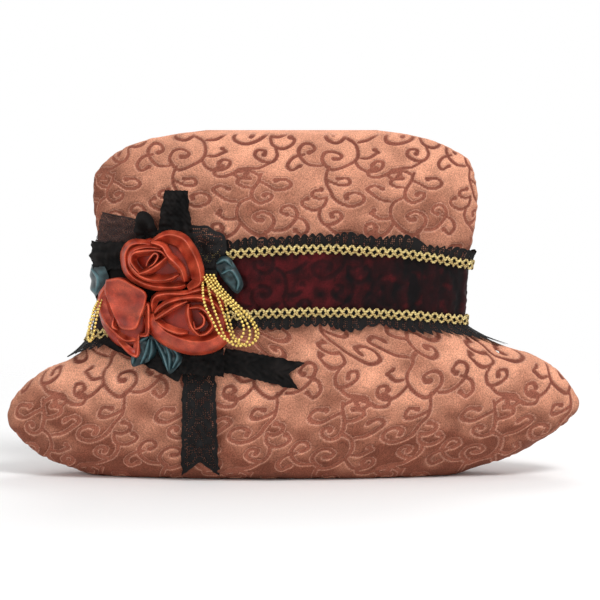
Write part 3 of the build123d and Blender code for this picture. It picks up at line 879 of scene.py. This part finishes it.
def lace_ruffle(name, edge, inner, outer, seed):
    """Lace gathered along a braid's edge, whose free edge stands out in small waves and points."""
    cols, rows = 1080, 10
    angle, share = ring_angles(cols), np.linspace(0, 1, rows)[:, None]
    along = np.linspace(0, CROWN_ROUND, cols)
    wander = 1.5 * waves(seed, 12, 20, 60)(along, 0)
    points = np.abs(np.sin(math.pi * (along + 2 * wander) / 7.5)) ** 0.7
    reach = (outer - inner) * (0.80 + 0.20 * points + 0.08 * wander)
    wave = np.sin(2 * math.pi * along / 8.7 + 1.3 * wander)
    off = LACE_OFF - 0.4 + share * (1.2 + 1.4 * (1 + wave)) * 0.9
    grid = ring_place(angle + 0 * share, edge, inner + share * reach, off)
    solid = np.clip((share - 0.8) * 6, 0, 1) + np.clip(0.6 - share, 0, 1) * 3 + 0.7 * (wave < -0.1) + 0 * off
    lace = Piece()
    lace.add(grid, ring=True, mark=np.clip(solid, 0, 1))
    piece = lace.build(name + "_net", LACE, ROOT, name)
    declare_sheet(piece)


def gold_braid(name, edge, width, seed):
    """Two strands of three gold threads each, which cross and part into a chain of eyes."""
    period, count = 14.0, 1700
    turns = round(BRAID_ROUND / period)
    t = np.linspace(0, 1, count, endpoint=False)
    all_round = np.append(ring_angles(720), 1.5 * math.pi)
    uneven = 0.35 * waves(seed, 14, 15, 70)(t * BRAID_ROUND, 0)
    braid = Piece()
    for strand in range(2):
        phase = 2 * math.pi * (turns * t + strand / 2)
        for side in (-0.9, 0.0, 0.9):
            looped = (t + (0.5 * np.sin(2 * phase) + 0.4 * uneven) / BRAID_ROUND) % 1
            angle = np.interp(looped, np.linspace(0, 1, 721), all_round)
            up = (width / 2 - 1.6) * np.sin(phase) + side * (0.8 + 0.25 * np.cos(2 * phase)) + uneven
            off = BRAID_OFF + 0.75 * np.sin(2 * phase + math.pi * strand) + 0.2
            line = ring_place(angle, edge, up, off)
            line = np.concatenate([line, line[:1]])
            grain = 0.5 + 0.5 * np.sin(np.arange(count + 1) * 2 * math.pi / 3.7 + 3 * side + strand)
            shine = np.clip(0.05 + 0.85 * grain**2 + 0.2 * np.append(np.sin(3 * phase), 0), 0, 1)
            braid.tube(line, 0.46 + 0.2 * grain, 5)
            braid.marks[-1] = np.concatenate([[shine[0]] * 5, np.repeat(shine, 5), [shine[-1]] * 5])
    braid.build(name + "_plait", GOLD_THREAD, ROOT, name)


hat_band()
lace_ruffle("lace_ruffle_upper", TOP_EDGE, -3, 14, 31)
lace_ruffle("lace_ruffle_lower", FOOT_EDGE, 3, -14, 37)
gold_braid("gold_braid_upper", TOP_EDGE, 10.5, 41)
gold_braid("gold_braid_lower", FOOT_EDGE, 10.5, 43)


# ---- corsage: felt, ribbons and leaves --------------------------------------------------------------------
def felt_patch():
    felt = Piece()
    wool = waves(51, 20, 5, 20)
    felt.add(oval_grid((-115, 160), (46, 57), 0, lambda x, z, share: front_point(
        x, z, FELT_OFF + 0.4 * wool(x, z) - 0.8 * share**6), wobble=0.02), ring=True)
    piece = felt.build("corsage_felt_wool", FELT, ROOT, "corsage_felt")
    declare_sheet(piece)


def ribbon(name, start, angle, length, width, off, material, hinge=None, notch=0.0,
           fold=1.0, mark=None, taper=(0.85, 1.0), seed=61):
    """A strip of ribbon along the front, with soft lengthwise folds and turned edges."""
    rows, cols = 60, 30
    s = np.linspace(0, 1, rows)[:, None]
    w = np.linspace(-1, 1, cols)[None, :]
    way = np.array([math.cos(math.radians(angle)), math.sin(math.radians(angle))])
    side = np.array([-way[1], way[0]])
    cut = length - notch * (1 - np.abs(w)) - 0.6 * np.abs(np.sin(9 * w))
    ragged = waves(seed + 9, 14, 2.5, 14)(s * length, 0 * s) * 0.05
    narrow = (taper[0] + (taper[1] - taper[0]) * s + ragged * np.sign(w)) + 0 * w
    x = start[0] + s * cut * way[0] + w * width / 2 * side[0] * narrow
    z = start[1] + s * cut * way[1] + w * width / 2 * side[1] * narrow
    soft = waves(seed, 18, 6, 30)(w * width / 2 + 40, s * length * 0.5)
    stand = off + fold * (1 + soft) * np.clip(s * 4, 0.3, 1) + 0.5 * w**8
    grid = front_point(x, z, stand)
    crumple = waves(seed + 30, 22, 3, 9)(w * width / 2, s * length)
    grid[..., 1] -= 0.45 * fold * crumple
    strip = Piece()
    # Painted light: plain ribbon is lighter where its soft folds stand out and where it crumples toward the
    # front; a given mark is the net's closed threads instead.
    shown = 0.25 + 0.4 * soft + 0.3 * crumple if mark is None else mark(s, w)
    strip.add(grid, mark=np.clip(shown, 0, 1))
    if hinge is None:
        piece = strip.build(name + "_cloth", material, ROOT, name)
    else:
        piece = strip.build(name + "_cloth", material, body=None, weld=False)
        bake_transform(piece)
        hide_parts(name)
    declare_sheet(piece)


def ribbon_loop(name, middle, half, turn, off, material, lift=9.0, seed=71):
    """A loop of ribbon stood up in a bow: a bulging fold with a hollow along its middle."""
    folds = waves(seed, 12, 6, 22)
    away = math.atan2(middle[1] - 165, middle[0] + 115)

    def place(x, z, share):
        rim = np.sin(math.pi * np.clip(share, 0, 1) ** 1.6)
        turned = np.arctan2(z - middle[1], x - middle[0])
        rim = rim * (0.62 + 0.38 * np.cos(turned - away)) + 0.2 * share * np.sin(6 * turned + seed)
        return front_point(x, z, off + 1.2 + lift * rim * 0.9 + 0.7 * folds(x, z))

    loop = Piece()
    grid = oval_grid(middle, half, turn, place, rings=18, cols=64)
    share = np.linspace(0, 1, 18)[:, None]
    # Painted highlight along the loop's bulging crest, and painted light where its folds stand out.
    loop.add(grid, ring=True, mark=np.clip(0.08 + 0.4 * bell(share, 0.62, 0.18)
                                           + 0.35 * folds(grid[..., 0], grid[..., 2]), 0, 1))
    piece = loop.build(name + "_fold", material, ROOT, name)
    declare_sheet(piece)


felt_patch()
ribbon("ribbon_tail_up", (-99, 193), 89, 60, 24, RIBBON_OFF[3], RIBBON,
       taper=(1.5, 0.8), fold=1.6, seed=62)
ribbon("ribbon_tail_left", (-135, 196), 182, 33, 26, RIBBON_OFF[2], RIBBON,
       fold=1.6, seed=63)
ribbon("ribbon_tail_lower_left", (-94, 95), 154, 76, 18, RIBBON_OFF[1], RIBBON,
       notch=9, seed=64)
ribbon("tulle_tail", (-123, 215), 172, 41, 26, RIBBON_OFF[1], TULLE,
       mark=lambda s, w: (np.abs(w) > 0.93) + 0 * s, seed=65)
ribbon("ribbon_knot", (-97, 106), 0, 39, 26, RIBBON_OFF[2], RIBBON,
       fold=2.0, seed=66)
ribbon_loop("ribbon_loop_upper", (-123, 215), (9.5, 20), 12, RIBBON_OFF[2], RIBBON, seed=72)


def lace_loop():
    """A loop of lace that stands out beside the upper rose."""
    wave = waves(81, 10, 8, 30)

    def place(x, z, share):
        return front_point(x, z, RIBBON_OFF[1] + 3.5 * np.sin(math.pi * share) + wave(x, z))

    loop = Piece()
    share = np.linspace(0, 1, 14)[:, None] + np.zeros(72)
    grid = oval_grid((-76, 203), (19, 22), 30, place, wobble=0.12)
    closed = 0.6 * (wave(grid[..., 0], grid[..., 2]) > -0.2)
    loop.add(grid, ring=True, mark=np.clip((share - 0.88) * 8 + closed, 0, 1))
    piece = loop.build("lace_loop_right_net", LACE, ROOT, "lace_loop_right")
    declare_sheet(piece)


lace_loop()


# ---- loose tails ------------------------------------------------------------------------------------------
# Two points for each tail's bend; the script only uses them to build the tail's cloth apart from every body,
# with no bend.
RIBBON_BEND = ((-57.5, -53, 106.4), (-51.6, -53, 105.2))
LACE_BEND = ((-80.5, -56, 93), (-80.5, -56, 87))


def lace_pattern(s, w):
    """Closed along the sides and the cut end, with closed sprigs between."""
    return (np.abs(w) > 0.86) + (s > 0.96) + 0.7 * (np.sin(34 * s) * np.cos(7 * w) > 0.1)


ribbon("ribbon_tail_right", (-60, 107), -12, 70, 24, 1.6, RIBBON, RIBBON_BEND,
       notch=12, fold=1.3, seed=67)
ribbon("lace_tail", (-80.5, 95), -90, 92, 33, 1.8, LACE, LACE_BEND,
       notch=14, fold=1.5, mark=lace_pattern, seed=68)


# ---- roses ------------------------------------------------------------------------------------------------
def rose_fold(rose, middle, points, low, high, out, inner, drop, seed):
    """A fold of satin: its rim follows the points, its outside swells out and its inside drops in."""
    rim = through(points, 4 * len(points) + 10)
    count = len(rim)
    ahead = np.gradient(rim, axis=0)
    ahead /= np.linalg.norm(ahead, axis=1, keepdims=True) + 1e-9
    outward = np.stack([ahead[:, 1], -ahead[:, 0]], axis=-1)
    if ((rim - middle) * outward).sum() < 0:
        outward = -outward
    s = np.linspace(0, 1, count)
    height = low + (high - low) * np.sin(math.pi * s) ** 0.6
    ripple = waves(seed + 90, 9, 7, 26)
    outside = [(out, 0.0), (out * 0.96, 0.28), (out * 0.72, 0.62), (out * 0.36, 0.86)]
    crest = [(0.8, 0.97), (0.25, 1.0), (-0.25, 1.0), (-0.7, 0.94)]
    hollow = [(-0.4 * inner, 1 - 0.55 * drop), (-0.8 * inner, 1 - 0.92 * drop), (-inner, 1 - drop)]
    profile = through(outside + crest + hollow, 31)
    along = s * np.linalg.norm(np.diff(rim, axis=0), axis=1).sum()
    wrinkle = 0.5 * ripple(along[:, None], profile[None, :, 0] * 0.5)
    taper = 0.35 + 0.65 * np.sin(math.pi * np.clip(s, 0.02, 0.98)) ** 0.4
    across = profile[None, :, 0] * taper[:, None]
    x = rim[:, None, 0] + across * outward[:, None, 0]
    z = rim[:, None, 1] + across * outward[:, None, 1]
    tall = np.maximum(height[:, None] * profile[None, :, 1] + wrinkle, 0.2)
    grid = front_point(x, z, ROSE_OFF + 0 * x)
    grid[..., 1] -= tall
    # Painted highlight along the fold's crest, broken by ripples.
    lit = bell(profile[None, :, 0], 0, 0.6) * 0.45 + 0.25 + 0.25 * ripple(along[:, None] * 1.5, across)
    rose.add(grid, mark=np.clip(lit, 0, 1))


def rose_bed(rose, middle, half, turn, tall):
    """The gathered heart of ribbon under a rose's petals, in the satin's darkest colour as painted shade."""
    def place(x, z, share):
        points = front_point(x, z, ROSE_OFF - 0.5 + 0 * x)
        points[..., 1] -= tall * np.sqrt(np.clip(1 - share**2.5, 0, 1))
        return points

    rose.add(oval_grid(middle, half, turn, place, rings=20), ring=True, mark=0.0)


def rose_petal(rose, points, height, seed):
    """A broad petal turned to the front: nearly flat, a little hollow, with a rolled rim."""
    rim = through(points, 90)
    heart = rim.mean(axis=0)
    share = np.linspace(0.02, 1, 26)[:, None, None]
    flat = heart + share * (rim - heart)
    share = share[..., 0]
    ripple = waves(seed, 12, 9, 30)(flat[..., 0] * 0.5, flat[..., 1])
    grid = front_point(flat[..., 0], flat[..., 1], ROSE_OFF + 0 * flat[..., 0])
    rolled = 0.9 * bell(share, 0.94, 0.05) - 5 * share**40
    grid[..., 1] -= height + 0.8 * ripple - 2.5 * (1 - share**2) + rolled
    # Painted highlight on the rolled rim, and painted light and shade following the ripples.
    rose.add(grid, mark=np.clip(0.2 + 0.2 * ripple + 0.5 * bell(share, 0.95, 0.04), 0, 1))


ROSE_SHIFT = 3.5
LEFT_PETAL = [(-160, 175), (-149, 177), (-138, 172), (-127, 165), (-127, 156), (-131, 144), (-136, 133),
              (-148, 133), (-153, 142), (-157, 153), (-161, 165), (-160, 175)]
# Each rose: its bed's middle, half sizes, turn and height, a seed, and its folds. Each fold: the points of
# its rim, its height at the ends and the middle, how far it spreads outside and inside, and its drop inside.
ROSES = {
    "rose_top": ((-114, 190), (29, 22), -15, 9, 20, [
        ([(-122, 208), (-114, 213), (-106, 215), (-96, 212), (-90, 205), (-84, 193), (-81, 180), (-82, 173),
          (-91, 167)], 8, 17, 4, 9, 0.55),
        ([(-122, 206), (-131, 207), (-138, 206), (-142, 202), (-144, 195), (-142, 184), (-136, 177),
          (-126, 172), (-115, 170), (-101, 170), (-94, 172)], 8, 16, 5, 5, 0.5),
        ([(-122, 208), (-113, 205), (-108, 197), (-102, 191), (-97, 185), (-94, 175)], 15, 20, 5, 4, 0.4),
        ([(-114, 203), (-124, 204), (-134, 202), (-139, 198), (-140, 191), (-136, 184), (-130, 179),
          (-120, 176), (-107, 177), (-99, 181)], 16, 20, 4, 6, 0.6),
        ([(-109, 196), (-115, 201), (-127, 201), (-136, 199), (-139, 193), (-136, 187), (-132, 182)],
         18, 22, 3, 5, 0.6),
        ([(-133, 181), (-125, 184), (-117, 189), (-109, 196)], 20, 23, 5, 4, 0.7),
        ([(-126, 188), (-124, 193), (-119, 199), (-116, 197), (-119, 191), (-124, 187)],
         20, 23, 1.2, 1.5, 0.5),
    ]),
    "rose_right": ((-90, 139), (30, 27), -12, 10, 5, [
        ([(-122, 147), (-122, 156), (-118, 162), (-108, 164), (-95, 164), (-87, 166), (-79, 168), (-71, 165),
          (-65, 158), (-63, 149)], 8, 13, 3, 6, 0.6),
        ([(-121, 147), (-119, 140), (-112, 133), (-103, 128), (-90, 124), (-77, 124), (-67, 128), (-63, 134)],
         12, 18, 13, 6, 0.5),
        ([(-120, 147), (-114, 153), (-105, 158), (-92, 161), (-79, 161), (-69, 156), (-63, 148)],
         13, 18, 3, 4, 0.5),
        ([(-119, 142), (-109, 149), (-101, 154), (-92, 158)], 15, 20, 4, 3, 0.6),
        ([(-119, 141), (-111, 135), (-100, 131), (-92, 131)], 14, 20, 4, 4, 0.5),
        ([(-91, 156), (-91, 146), (-88, 136), (-82, 129)], 18, 23, 4, 3, 0.5),
        ([(-91, 152), (-83, 153), (-77, 150), (-73, 144), (-71, 137), (-76, 131), (-82, 129)],
         18, 22, 3, 4, 0.6),
        ([(-82, 149), (-78, 144), (-79, 138), (-85, 135), (-87, 141)], 19, 22, 1.5, 2, 0.6),
    ]),
    "rose_left": ((-147, 146), (20, 31), 8, 8, 2, [
        ([(-160, 170), (-165, 159), (-165, 149), (-161, 138), (-154, 130), (-145, 123), (-136, 123)],
         6, 11, 3, 6, 0.4),
        ([(-152, 123), (-145, 115), (-138, 110), (-135, 112), (-134, 128)], 5, 9, 2, 5, 0.4),
        ([(-131, 144), (-126, 155), (-125, 144), (-126, 129), (-133, 127)], 8, 14, 2, 3, 0.4),
        ([(-154, 142), (-155, 135), (-151, 132)], 12, 16, 2, 3, 0.4),
    ]),
}


# Each leaf: how far it stands off, how tall its pleats are, its outline, and the ridges of its pleats.
LEAVES = {
    "leaf_right": (RIBBON_OFF[2], 4.5,
                   [(-66, 189), (-61, 195), (-54, 195), (-49, 189), (-44, 179), (-42, 171), (-47, 164),
                    (-54, 170), (-61, 179)],
                   [[(-64, 190), (-57, 193), (-51, 188)], [(-60, 181), (-52, 184), (-46, 175), (-47, 167)]]),
    "leaf_left": (RIBBON_OFF[1], 3.5,
                  [(-169, 187), (-160, 187), (-156, 176), (-159, 160), (-166, 158), (-170, 170)],
                  [[(-168, 183), (-163, 175), (-164, 163)]]),
    "leaf_bottom_left": (RIBBON_OFF[3], 5.0, [(-122, 128), (-130, 125), (-135, 116), (-137, 101), (-129, 102),
                                              (-121, 106), (-117, 116), (-117, 126)],
                         [[(-122, 126), (-130, 120), (-135, 103)], [(-121, 124), (-124, 113), (-128, 103)],
                          [(-119, 124), (-119, 115), (-121, 107)]]),
    "leaf_bottom_right": (RIBBON_OFF[3], 5.5, [(-118, 126), (-113, 117), (-109, 104), (-105, 95), (-99, 99),
                                               (-93, 108), (-99, 118), (-108, 125)],
                          [[(-116, 124), (-110, 113), (-105, 98)], [(-108, 122), (-104, 110), (-104, 98)],
                           [(-101, 116), (-97, 110), (-101, 100)]]),
}


def leaves():
    """Doubled ribbon in stiff pleats, which fan out from under the roses."""
    for number, (name, (off, tall, outline, ridges)) in enumerate(LEAVES.items()):
        leaf = Piece()
        rim = through([*outline, outline[0]], 72)
        heart = rim.mean(axis=0)
        share = np.linspace(0.03, 1, 16)[:, None]
        x = heart[0] + share * (rim[:, 0] - heart[0])
        z = heart[1] + share * (rim[:, 1] - heart[1])
        ripple = waves(140 + number, 12, 5, 16)
        stand = off + 1.0 + tall * 0.35 * (1 - share**4) + 0.8 * ripple(x, z)
        # Painted light: the leaf is lighter where its ripples stand out.
        leaf.add(front_point(x, z, stand), mark=np.clip(0.1 + 0.3 * ripple(x, z), 0, 1))
        for ridge in ridges:
            line = through(ridge, 26)
            ahead = np.gradient(line, axis=0)
            ahead /= np.linalg.norm(ahead, axis=1, keepdims=True)
            w = np.linspace(-1, 1, 13)[None, :]
            wide = 3.6 * np.sin(math.pi * np.linspace(0.04, 0.96, 26)) ** 0.5
            x = line[:, :1] - ahead[:, 1:] * w * wide[:, None]
            z = line[:, 1:] + ahead[:, :1] * w * wide[:, None]
            rising = 0.75 + 0.25 * np.linspace(0, 1, 26)[:, None]
            crest = tall * np.clip(1 - np.abs(w), 0, 1) ** 0.75 * rising
            lit = np.clip(bell(w, 0, 0.3) * 0.9 + 0.05 + 0 * x, 0, 1)
            leaf.add(front_point(x, z, off + 0.6 + crest), mark=lit)
        piece = leaf.build(name + "_pleats", LEAF_SATIN, ROOT, name)
        declare_sheet(piece)


leaves()


def roses():
    for name, (middle, half, turn, tall, seed, folds) in ROSES.items():
        rose = Piece()
        middle = (middle[0] + ROSE_SHIFT, middle[1])
        rose_bed(rose, middle, half, turn, tall)
        for number, (points, low, high, out, inner, drop) in enumerate(folds):
            points = [(x + ROSE_SHIFT, z) for x, z in points]
            rose_fold(rose, middle, points, low, high, out, inner, drop, seed + number)
        if name == "rose_left":
            rose_petal(rose, [(x + ROSE_SHIFT, z) for x, z in LEFT_PETAL], 17, 95)
        piece = rose.build(name + "_petals", ROSE_SATIN, ROOT, name)
        declare_sheet(piece)


roses()


# ---- floor and light --------------------------------------------------------------------------------------
FLOOR_RADIUS, FLOOR_Z = 1200, -0.3


def floor():
    """A pale floor that fades away all round, so that it meets the white with no edge."""
    material, nodes, link, shader = new_material("floor", 0.9, specular=0.1)
    shader.inputs["Base Color"].default_value = (0.93, 0.93, 0.93, 1)
    place = nodes.new("ShaderNodeTexCoord")
    flat = nodes.new("ShaderNodeVectorMath")
    flat.operation = "LENGTH"
    link(place.outputs["Object"], flat.inputs[0])
    fade = nodes.new("ShaderNodeMapRange")
    fade.inputs["From Min"].default_value = 0.45
    fade.inputs["From Max"].default_value = 1.1
    fade.inputs["To Min"].default_value = 1
    fade.inputs["To Max"].default_value = 0
    link(flat.outputs["Value"], fade.inputs["Value"])
    link(fade.outputs["Result"], shader.inputs["Alpha"])
    ground = Piece()
    angle = np.linspace(0, 2 * math.pi, 96, endpoint=False)
    radius = np.linspace(1, FLOOR_RADIUS, 24)[:, None]
    x, y = radius * np.cos(angle), radius * np.sin(angle)
    ground.add(np.stack([x, y, 0 * x + FLOOR_Z], axis=-1), ring=True)
    ground.build("floor", material, body=None)


def white_world():
    """Lights the cushion softly, and is plain white where it is seen, mirrored or seen through."""
    world = bpy.data.worlds.new("studio")
    bpy.context.scene.world = world
    world.use_nodes = True
    nodes, link = world.node_tree.nodes, world.node_tree.links.new
    light = nodes["Background"]
    light.inputs["Color"].default_value = (1, 1, 1, 1)
    light.inputs["Strength"].default_value = 0.62
    seen = nodes.new("ShaderNodeBackground")
    seen.inputs["Color"].default_value = (1, 1, 1, 1)
    path = nodes.new("ShaderNodeLightPath")
    mix = nodes.new("ShaderNodeMixShader")
    white_for = path.outputs["Is Camera Ray"]
    for kind in ("Is Glossy Ray", "Is Transmission Ray"):
        either = nodes.new("ShaderNodeMath")
        either.operation = "MAXIMUM"
        link(white_for, either.inputs[0])
        link(path.outputs[kind], either.inputs[1])
        white_for = either.outputs[0]
    link(white_for, mix.inputs["Fac"])
    link(light.outputs[0], mix.inputs[1])
    link(seen.outputs[0], mix.inputs[2])
    link(mix.outputs[0], nodes["World Output"].inputs["Surface"])


def soft_lamp(name, place, aim, size, power):
    data = bpy.data.lights.new(name, "AREA")
    data.shape = "DISK"
    data.size = size
    data.energy = power
    lamp = bpy.data.objects.new(name, data)
    bpy.context.scene.collection.objects.link(lamp)
    lamp.location = place
    lamp.rotation_euler = (Vector(aim) - Vector(place)).to_track_quat("-Z", "Y").to_euler()


floor()
white_world()
soft_lamp("key", (0.8, -1.2, 1.9), (0, 0, 0.15), 0.8, 27)
soft_lamp("fill", (-1.5, -1.5, 0.9), (0, 0, 0.15), 1.2, 5)
soft_lamp("back", (0.3, 1.6, 1.7), (0, 0, 0.15), 1.2, 12)
bpy.context.scene.view_settings.view_transform = "Standard"
